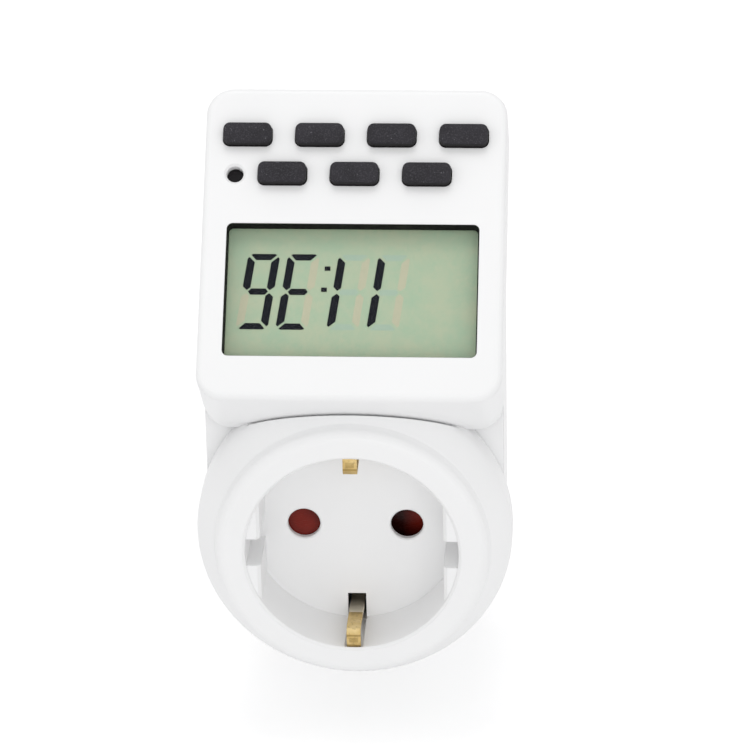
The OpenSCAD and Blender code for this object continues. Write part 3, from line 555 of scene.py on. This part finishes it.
def screw_recipe():
    make = Recipe.named("screw", {
        "Head Radius": 1.9, "Head Height": 1.3, "Shank Radius": 0.9, "Length": 6.0, "Pitch": 0.8,
        "Recess": 0.5, "Turn": (0.0, 0.0, 0.0)})
    get = make.given
    ball = make.step("MeshUVSphere", {"Segments": 40, "Rings": 24, "Radius": get["Head Radius"]})
    spot = make.step("InputPosition")
    x, y, z = [make.node("SeparateXYZ", {0: spot}, out=k) for k in range(3)]
    crown = make.sum("MAXIMUM", z, 0.0) / get["Head Radius"] * get["Head Height"]
    head = make.step("SetPosition", {"Geometry": ball, "Position": make.vector(x, y, crown)})
    head = make.step("MergeByDistance", {"Geometry": head, "Distance": 0.001})
    # One blade cuts the cross a little deeper, so that the cuts' floors don't share a plane.
    reach, up = get["Head Radius"] * 1.15, get["Head Height"] * 0.45 + 0.7
    sizes = [make.vector(get["Recess"], reach, 1.46), make.vector(reach, get["Recess"], 1.4)]
    blades = [make.raised(make.step("MeshCube", {"Size": size}), up) for size in sizes]
    cut = make.step("MeshBoolean", {"Mesh 1": head, "Mesh 2": blades}, operation="DIFFERENCE")
    # The shank enters the head a little. Its thread starts just above the tip and ends below the head.
    into_head, bare, tip = 0.02, 1.6, 0.4
    shank = make.step("MeshCylinder", {
        "Vertices": 32, "Radius": get["Shank Radius"], "Depth": get["Length"]})
    shank = make.raised(shank, get["Length"] * -0.5 + into_head)
    threaded = get["Length"] - bare
    spiral = make.step("CurveSpiral", {
        "Resolution": 24, "Rotations": threaded / get["Pitch"], "Start Radius": get["Shank Radius"],
        "End Radius": get["Shank Radius"], "Height": threaded})
    ridge = make.step("CurvePrimitiveCircle", {"Resolution": 5, "Radius": get["Pitch"] * 0.16})
    thread = make.step("CurveToMesh", {"Curve": spiral, "Profile Curve": ridge, "Fill Caps": True})
    thread = make.raised(thread, get["Length"] * -1.0 + tip)
    one = make.step("JoinGeometry", {"Geometry": [cut, shank, thread]})
    return make.done(make.step("InstanceOnPoints", {
        "Points": get["Base"], "Instance": one, "Rotation": get["Turn"]}))


screw = screw_recipe()
forwards, backwards = (0.0, 0.0, 0.0), (0.0, pi, 0.0)


def drive(name, place, level, spots, turn, head, height, shank, length, pitch, recess):
    """A group of screws: their heads' level and places, and the sizes of one."""
    base = [(x, y, level) for x, y in spots], []
    made = cook(name + "_turned", screw, base, steel, place, {
        "Head Radius": head, "Head Height": height, "Shank Radius": shank, "Length": length,
        "Pitch": pitch, "Recess": recess, "Turn": turn})
    return fit(made, "casing", "bare_steel", name)


drive("board_screws", socket_place, power_front, [(-15, 46), (15, 46), (15, 22.2)], turn=forwards,
      head=1.8, height=1.1, shank=0.75, length=3.4, pitch=0.6, recess=0.5)


# The current's path: straps and sprung sleeves bent from brass strip, held by a
# carrier that is moulded in plain off-white plastic and staked on four posts.

for name in ("live_contact", "neutral_contact", "live_strap", "neutral_strap", "load_strap"):
    dress(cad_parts[name], brass)
off_white = moulding("off_white", (0.66, 0.64, 0.57), (0.71, 0.69, 0.63), 0.45)
dress(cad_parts["contact_carrier"], off_white)


# The main housing: the socket well, its ring and dome and the neck, one white
# moulding, with the brass earth clips in slots at the well's top and bottom.

dress(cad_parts["main_housing"], white)
# The clips' paler colour deep in their slots is painted light.
dress(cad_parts["earth_strip"], stamped_brass("clip_brass", pocket_at=18.1, painted_light_from=-63.0))


# The shutter behind the pin holes: a dark red glossy moulding that turns on the
# housing's post, under a spring wound from steel wire and one screw.

def shutter_gloss():
    """Red, with painted shade to the right of the post, fading back to red across the pin hole there."""
    made, paint, where = new_finish("shutter_gloss")
    cloud = paint.noise(where, 260.0, 3.0)
    scuff = paint.noise(paint.node("Mapping", {"Vector": where, "Scale": (1.0, 1.0, 5.0)}), 1500.0, 3.0)
    tone = cloud.ramp((0.3, (0.12, 0.008, 0.005)), (0.7, (0.20, 0.016, 0.009)))
    x = paint.node("SeparateXYZ", {0: where})
    # Painted shade: dark right of the post, fading back to red over the right pin hole.
    painted_shade_end, fade = 12.6 * mm, 4.0 * mm
    painted_shade = (x > 0.0) * ((painted_shade_end - x) * (1 / fade))
    lay(paint, painted_shade.mix(tone, (0.016, 0.002, 0.0015)), 0.22 + 0.3 * (scuff > 0.58), height=scuff,
        depth=0.012, soften=0.1, Specular_IOR_Level=0.12)
    return made


def spring_recipe():
    make = Recipe.named("wound_spring", {
        "Radius": 2.55, "Rise": 2.1, "Turns": 3.0, "Wire": 0.25, "Start": -18.95})
    get = make.given
    coil = make.step("CurveSpiral", {
        "Resolution": 40, "Rotations": get["Turns"], "Start Radius": get["Radius"],
        "End Radius": get["Radius"], "Height": get["Rise"]})
    wire = make.step("CurvePrimitiveCircle", {"Resolution": 12, "Radius": get["Wire"]})
    wound = make.step("CurveToMesh", {"Curve": coil, "Profile Curve": wire, "Fill Caps": True})
    return make.done(make.step("InstanceOnPoints", {
        "Points": get["Base"], "Instance": make.raised(wound, get["Start"])}))


dress(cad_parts["shutter"], shutter_gloss())
fit(cook("return_spring", spring_recipe(), ([(0, 0, 0)], []), steel, socket_place, smooth=60),
    "casing", "bare_steel", "shutter_spring")
drive("shutter_screw", socket_place, level=-19.5, spots=[(0, 0)], turn=backwards,
      head=3.75, height=1.2, shank=0.95, length=5.7, pitch=0.7, recess=0.8)


# The ribbon cable from the display board to the power board: six grey insulated
# wires side by side, bent smoothly between their two ends.

def ribbon_recipe():
    wires = 6
    make = Recipe.named("ribbon", {"Bend": 2.5, "Pitch": 1.0, "Half Wire": 0.29})
    get = make.given
    path = make.step("FilletCurve", {
        "Curve": make.step("MeshToCurve", {"Mesh": get["Base"]}), "Radius": get["Bend"], "Count": 8,
        "Limit Radius": True}, mode="POLY")
    path = make.step("SetCurveNormal", {"Curve": path, "Normal": (1.0, 0.0, 0.0)}, mode="FREE")
    wire = make.step("CurvePrimitiveCircle", {"Resolution": 12, "Radius": get["Half Wire"]})
    lanes = [make.step("Transform", {
        "Geometry": wire, "Translation": make.vector(get["Pitch"] * (k - (wires - 1) / 2), 0.0, 0.0),
        "Scale": (1.66, 1.0, 1.0)}) for k in range(wires)]
    side_by_side = make.step("JoinGeometry", {"Geometry": lanes})
    return make.done(make.step("CurveToMesh", {
        "Curve": path, "Profile Curve": side_by_side, "Fill Caps": True}))


def chain(points):
    """A base of points in a row, each joined to the next."""
    return points, [(i, i + 1) for i in range(len(points) - 1)]


cable_grey = moulding("cable_grey", (0.46, 0.47, 0.50), (0.54, 0.55, 0.58), 0.42)
# The cable's way: its distance behind the rim, and its height.
route = [(17.46, 36.37), (24.1, 29.73), (30.1, 26.73), (42.2, 17.5), (46.2, 20.1), (47.9, 20.6)]
cable_x = 3.5
cable_way = chain([(cable_x, rim_y + behind, up) for behind, up in route])
fit(cook("ribbon", ribbon_recipe(), cable_way, cable_grey, Matrix.Identity(4), smooth=60),
    "casing", "grey_cable", "ribbon_cable")


# Four long screws from behind hold the two housings together. They sit deep in sunk
# holes: two below the plug's nose, and two above it near the sides.

housing_spots = [(-16.39, -14.42), (16.39, -14.42), (-21.4, 30), (21.4, 30)]
drive("housing_screws", socket_place, level=-34.0, spots=housing_spots, turn=backwards,
      head=2.5, height=2.0, shank=1.3, length=11.0, pitch=1.0, recess=0.75)


# The front cover with its clear pane: the cover is the same white moulding, and
# the pane a polished acrylic sheet that lies behind the window.

def clear_acrylic():
    made, paint, where = new_finish("clear_acrylic")
    smear = paint.noise(where, 160.0, 3.0)
    edge = paint.node("Fresnel", {"IOR": 1.45})
    clear = paint.node("BsdfTransparent", {"Color": (0.985, 0.99, 0.985, 1.0)})
    shine = paint.node("BsdfGlossy", {"Color": (1, 1, 1, 1), "Roughness": 0.06})
    through = paint.node("MixShader", {0: edge * (0.05 + 0.04 * smear), 1: clear, 2: shine})
    paint.node("OutputMaterial", {"Surface": through})
    return made


dress(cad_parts["front_cover"], white)
dress(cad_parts["window_pane"], clear_acrylic())


# The window's gasket: a thin black rubber lining of the opening, pressed between
# the cover's wall and the pane, which keeps dust off the display. Its black is
# partly its own and partly painted shade on the opening's wall.

# The face frame: x across the face, y up it and z out of it, from its lower edge. The
# face leans back by half a right angle.
edge_y, edge_z, lean_back = -72.0, 32.2, sqrt(0.5)
face_place = Matrix(((1, 0, 0, 0), (0, lean_back, -lean_back, edge_y * mm),
                     (0, lean_back, lean_back, edge_z * mm), (0, 0, 0, 1)))


def lining_recipe():
    make = Recipe.named("window_lining", {"Width": 45.8, "Height": 25.4, "Corner": 1.1})
    get = make.given
    path = make.pad(get["Width"], get["Height"], get["Corner"], 8)
    section = make.step("SetSplineCyclic", {"Geometry": make.step("MeshToCurve", {"Mesh": get["Base"]}),
                                            "Cyclic": True})
    return make.done(make.step("CurveToMesh", {"Curve": path, "Profile Curve": section}))


# Its section: distance inwards from the opening's wall, and depth below the face.
lining = [(0.0, 0.1), (0.06, 0.12), (0.1, 0.3), (0.3, 2.19), (0.0, 2.19)]
window_up = 20.8
# The lining's black is partly painted shade on the opening's wall.
gasket_black = moulding("gasket_black", (0.006, 0.006, 0.006), (0.010, 0.011, 0.009), 0.6,
                        Specular_IOR_Level=0.1)
lining_section = chain([(-inwards, deep, 0.0) for inwards, deep in lining])
fit(cook("window_gasket", lining_recipe(), lining_section, gasket_black,
         face_place @ at(0, window_up, 0), smooth=50), "casing", "grey_rubber")


# The display: a grey-green reflective liquid crystal cell. Its dark strokes show
# the time, and the strokes that are off show faintly, tan upright and blue level.

def crystal_ground():
    made, paint, where = new_finish("crystal_ground")
    cloud = paint.noise(where, 220.0, 3.0, 0.6)
    mottle = paint.noise(where, 1500.0, 3.0, 0.7)
    tone = (0.6 * cloud + 0.4 * mottle).ramp((0.38, (0.435, 0.565, 0.41)), (0.62, (0.515, 0.58, 0.42)))
    lay(paint, tone, 0.5 + 0.1 * mottle, height=mottle, depth=0.004, Specular_IOR_Level=0.1)
    return made


def stroke_ink(name, low, high):
    made, paint, where = new_finish(name)
    mottle = paint.noise(where, 1700.0, 3.0, 0.7)
    lay(paint, mottle.ramp((0.35, low), (0.65, high)), 0.45 + 0.1 * mottle, height=mottle, depth=0.003,
        Specular_IOR_Level=0.06)
    return made


# A digit's half width and height, its strokes' widths and its lean; where the digits stand.
digit_half_w, digit_half_h, upright_w, level_h, lean = 2.9, 7.225, 1.4, 1.15, 0.13
digits_up, digits_at = 21.5, [-17.07, -9.85, -0.64, 6.58]


def stroke_shapes():
    """The seven strokes of a digit about its middle: top, two upper, middle, two lower, bottom."""
    w, h, inner = digit_half_w, digit_half_h, digit_half_w - upright_w
    # How far the strokes' corners are cut back, and how far their points reach.
    gap, near, far, tip = 0.18, 0.6, 0.9, 0.3
    top = [(far - w, h), (w - far, h), (w - near, h - gap), (inner - gap, h - level_h),
           (gap - inner, h - level_h), (near - w, h - gap)]
    middle = [(-inner - tip, 0), (gap - inner, level_h / 2), (inner - gap, level_h / 2), (inner + tip, 0),
              (inner - gap, -level_h / 2), (gap - inner, -level_h / 2)]
    upright = [(w - tip, h - near), (w, h - far), (w, 1.0), (w - 0.8, tip), (inner, 0.8),
               (inner, h - level_h - 0.45)]

    def over(shape, x, y):
        """The shape mirrored: x or y is -1 where it is turned over."""
        return [(x * a, y * b) for a, b in shape]

    return [top, over(upright, -1, 1), upright, middle, over(upright, -1, -1), over(upright, 1, -1),
            over(top, 1, -1)]


def faint_strokes(name, off, finish):
    """Thin closed plates on the glass, where strokes are off: the stroke numbers of each digit."""
    glass_z, thick = -3.3, 0.015
    form = bmesh.new()
    shapes = stroke_shapes()
    for middle, numbers in zip(digits_at, off):
        for number in numbers:
            outline = [(middle + x + lean * y, digits_up + y) for x, y in shapes[number]]
            low, high = [[form.verts.new((x, y, z)) for x, y in outline]
                         for z in (glass_z, glass_z + thick)]
            form.faces.new(high)
            form.faces.new(low[::-1])
            for i in range(len(outline)):
                j = (i + 1) % len(outline)
                form.faces.new((low[i], low[j], high[j], high[i]))
    return fit(dress(finished(name, form, face_place), finish), "casing", "display_glass")


dress(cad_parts["lcd_glass"], crystal_ground())
dress(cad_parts["lcd_digits"], stroke_ink("stroke_dark", (0.008, 0.009, 0.013), (0.014, 0.015, 0.021)))
faint_strokes("faint_uprights", [[4], [2, 5], [2, 5], [2, 5]],
              stroke_ink("faint_tan", (0.55, 0.545, 0.40), (0.585, 0.565, 0.42)))
faint_strokes("faint_levels", [[], [], [0, 3, 6], [0, 3, 6]],
              stroke_ink("faint_blue", (0.42, 0.545, 0.445), (0.45, 0.565, 0.455)))


# Behind the glass: its moulded frame, and two striped rubber strips that press on
# the glass's edge and carry its contacts to the board.

def striped_rubber():
    made, paint, where = new_finish("striped_rubber")
    across, pitch = paint.node("SeparateXYZ", {0: where}, out=0), 0.36 * mm
    stripe = paint.sum("FRACT", across * (1 / pitch)) > 0.5
    cloud = paint.noise(where, 400.0, 2.0)
    pink = cloud.mix((0.62, 0.26, 0.30), (0.70, 0.33, 0.36))
    lay(paint, stripe.mix(pink, (0.03, 0.03, 0.035)), 0.6 + 0.1 * cloud, height=stripe, depth=0.02)
    return made


dress(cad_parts["lcd_frame"], off_white)
# The board's front and the glass's back, as heights over the face.
board_front, glass_back = -8.5, -5.5
half_l, half_w, strip_edge = 21.6, 0.8, 0.3
strip_blocks = [((-half_l, up - half_w, board_front), (half_l, up + half_w, glass_back), strip_edge)
                for up in (8.4, 33.2)]
fit(blocks("striped_strips", strip_blocks, striped_rubber(), face_place),
    "casing", "pink_rubber", "zebra_strips")


# The display board: green lacquered laminate, with the controller potted in a
# drop of black epoxy and a steel backup cell in its crimped rim.

dress(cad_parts["display_board"], etched_board(
    "green_board", (0.012, 0.12, 0.045), (0.02, 0.16, 0.06), (0.03, 0.24, 0.09), pitch=1.1))
dress(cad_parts["controller_blob"], moulding(
    "potted_epoxy", (0.008, 0.008, 0.009), (0.014, 0.014, 0.015), 0.12, relief=0.05))

board_back = -10.1
# The cell's radius, and height from its side that lies away from the board.
cell_side = [(0, 0), (4.0, 0), (4.2, 0.15), (4.2, 0.4), (5.0, 0.4), (5.45, 0.6), (5.7, 1.0), (5.8, 1.5),
             (5.8, 4.3), (5.6, 4.7), (5.2, 4.8), (0, 4.8)]
cell_thick = cell_side[-1][1]
cell_at = (-12, 20.8, board_back - cell_thick)
fit(spun("crimped_cell", cell_side, steel, face_place @ at(*cell_at)),
    "casing", "bare_steel", "backup_cell")


# The key mat: one sheet of grey silicone rubber with a hollow dome under each
# key, which buckles when the key is pressed and pushes it back.

key_pitch, row_low, row_high = 13.14, 42.95, 50.5
keys = {"mode_key": (-1.5, row_high), "enter_key": (-0.5, row_high), "clock_key": (0.5, row_high),
        "clear_key": (1.5, row_high), "minute_key": (-1.0, row_low), "hour_key": (0.0, row_low),
        "week_key": (1.0, row_low)}
key_spots = [(column * key_pitch, row) for column, row in keys.values()]
reset_spot = (-21.8, 43.05)


def mat_recipe():
    make = Recipe.named("key_mat", {
        "Width": 49.0, "Depth": 12.0, "Corner": 1.0, "Thickness": 0.85, "Foot": 1.5, "Top": 1.0,
        "Rise": 1.25, "Middle": (0.0, 46.9, board_front)})
    get = make.given
    outline = make.pad(get["Width"], get["Depth"], get["Corner"], 6)
    sheet = make.step("ExtrudeMesh", {"Mesh": make.step("FillCurve", {"Curve": outline}, mode="NGONS"),
                                      "Offset Scale": get["Thickness"], "Individual": False})
    floor = make.step("FlipFaces", {"Mesh": make.step("FillCurve", {"Curve": outline}, mode="NGONS")})
    sheet = make.step("JoinGeometry", {"Geometry": [sheet, floor]})
    sheet = make.step("Transform", {"Geometry": sheet, "Translation": get["Middle"]})
    cone = make.step("MeshCone", {"Vertices": 28, "Radius Top": get["Top"], "Radius Bottom": get["Foot"],
                                  "Depth": get["Rise"], "Side Segments": 3})
    lip_out, lip_thick = 0.35, 0.12
    lip = make.step("MeshCylinder", {
        "Vertices": 28, "Radius": get["Foot"] + lip_out, "Depth": lip_thick})
    dome = make.step("JoinGeometry", {"Geometry": [cone, lip]})
    domes = make.step("InstanceOnPoints", {"Points": get["Base"], "Instance": dome})
    return make.done(make.step("JoinGeometry", {"Geometry": [sheet, domes]}))


silicone = moulding("grey_silicone", (0.42, 0.42, 0.44), (0.48, 0.48, 0.50), 0.55)
mat, dome_gap = mat_recipe(), 0.03
domes_z = board_front + mat.sizes["Thickness"] + dome_gap
domes_at = [(x, y, domes_z) for x, y in key_spots + [reset_spot]]
fit(cook("silicone_mat", mat, (domes_at, []), silicone, face_place), "casing", "grey_rubber", "key_mat")


# The keys: moulded in matt black rubbery plastic, with a rounded edge, a stem and
# a stop flange that holds them behind the face. The reset key lies in its hole.

# A key's crown over the face, its edge's radius and its foot; its flange's back, front and reach.
key_top, key_edge, key_foot, flange_back, flange_front, flange_out = 1.8, 0.35, -6.3, -3.5, -2.5, 0.5


def cap_recipe():
    make = Recipe.named("key_cap", {"Width": 8.8, "Height": 4.0, "Corner": 1.2})
    get = make.given
    return make.done(make.step("CurveToMesh", {
        "Curve": make.pad(get["Width"], get["Height"], get["Corner"], 7),
        "Profile Curve": make.step("MeshToCurve", {"Mesh": get["Base"]})}))


def matt_black():
    """Lighter on the keys' crowns than on their sides, whose darker colour is painted shade; the crowns
    are told from the sides by the height out of the face.
    """
    made, paint, where = new_finish("matt_black")
    y, z = [paint.node("SeparateXYZ", {0: where}, out=k) for k in (1, 2)]
    height_out = (z - y) * lean_back - (edge_z - edge_y) * mm * lean_back
    crown = height_out > (key_top - key_edge) * mm
    grain = paint.noise(where, 4200.0, 3.0, 0.65)
    cloud = paint.noise(where, 260.0, 3.0)
    dust = paint.noise(where, 2300.0, 1.0) > 0.735
    tone = cloud.ramp((0.3, (0.020, 0.0185, 0.022)), (0.7, (0.030, 0.028, 0.034)))
    fleck = (0.16 * dust + 0.05 * (grain > 0.56)).mix(tone, (0.45, 0.45, 0.49))
    # The sides' darker colour is painted shade; the crowns keep the flecked tone.
    lay(paint, crown.mix((0.007, 0.006, 0.007), fleck), 0.5 + 0.18 * grain, height=grain, depth=0.02,
        Specular_IOR_Level=0.18)
    return made


def key_side():
    """Half section of a key: distance out from its outline, and height."""
    crown_rise, crown_in, steps = 0.06, 1.0, 6
    turns = [pi / 2 * step / steps for step in range(steps + 1)]
    arc = [(-key_edge * (1 - cos(turn)), key_top - crown_rise - key_edge * (1 - sin(turn)))
           for turn in turns]
    return [(0, key_foot), (0, flange_back), (flange_out, flange_back), (flange_out, flange_front),
            (0, flange_front), *arc, (-crown_in, key_top)]


key_black, cap = matt_black(), cap_recipe()
key_section = chain([(out, -height, 0.0) for out, height in key_side()])
for name, spot in zip(keys, key_spots):
    fit(cook(name + "_cap", cap, key_section, key_black, face_place @ at(*spot, 0), smooth=50),
        name, "black_key", name)

dress(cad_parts["reset_key"], key_black)


# Four small screws from behind hold the front cover on the main housing. They reach
# into posts in the cover's top corners and above the window's upper corners.

cover_spots = [(-22.6, 56), (22.6, 56), (-23.3, 38.1), (23.3, 38.1)]
drive("cover_screws", face_place, level=-16.2, spots=cover_spots, turn=backwards,
      head=1.9, height=1.3, shank=0.85, length=8.2, pitch=0.7, recess=0.5)
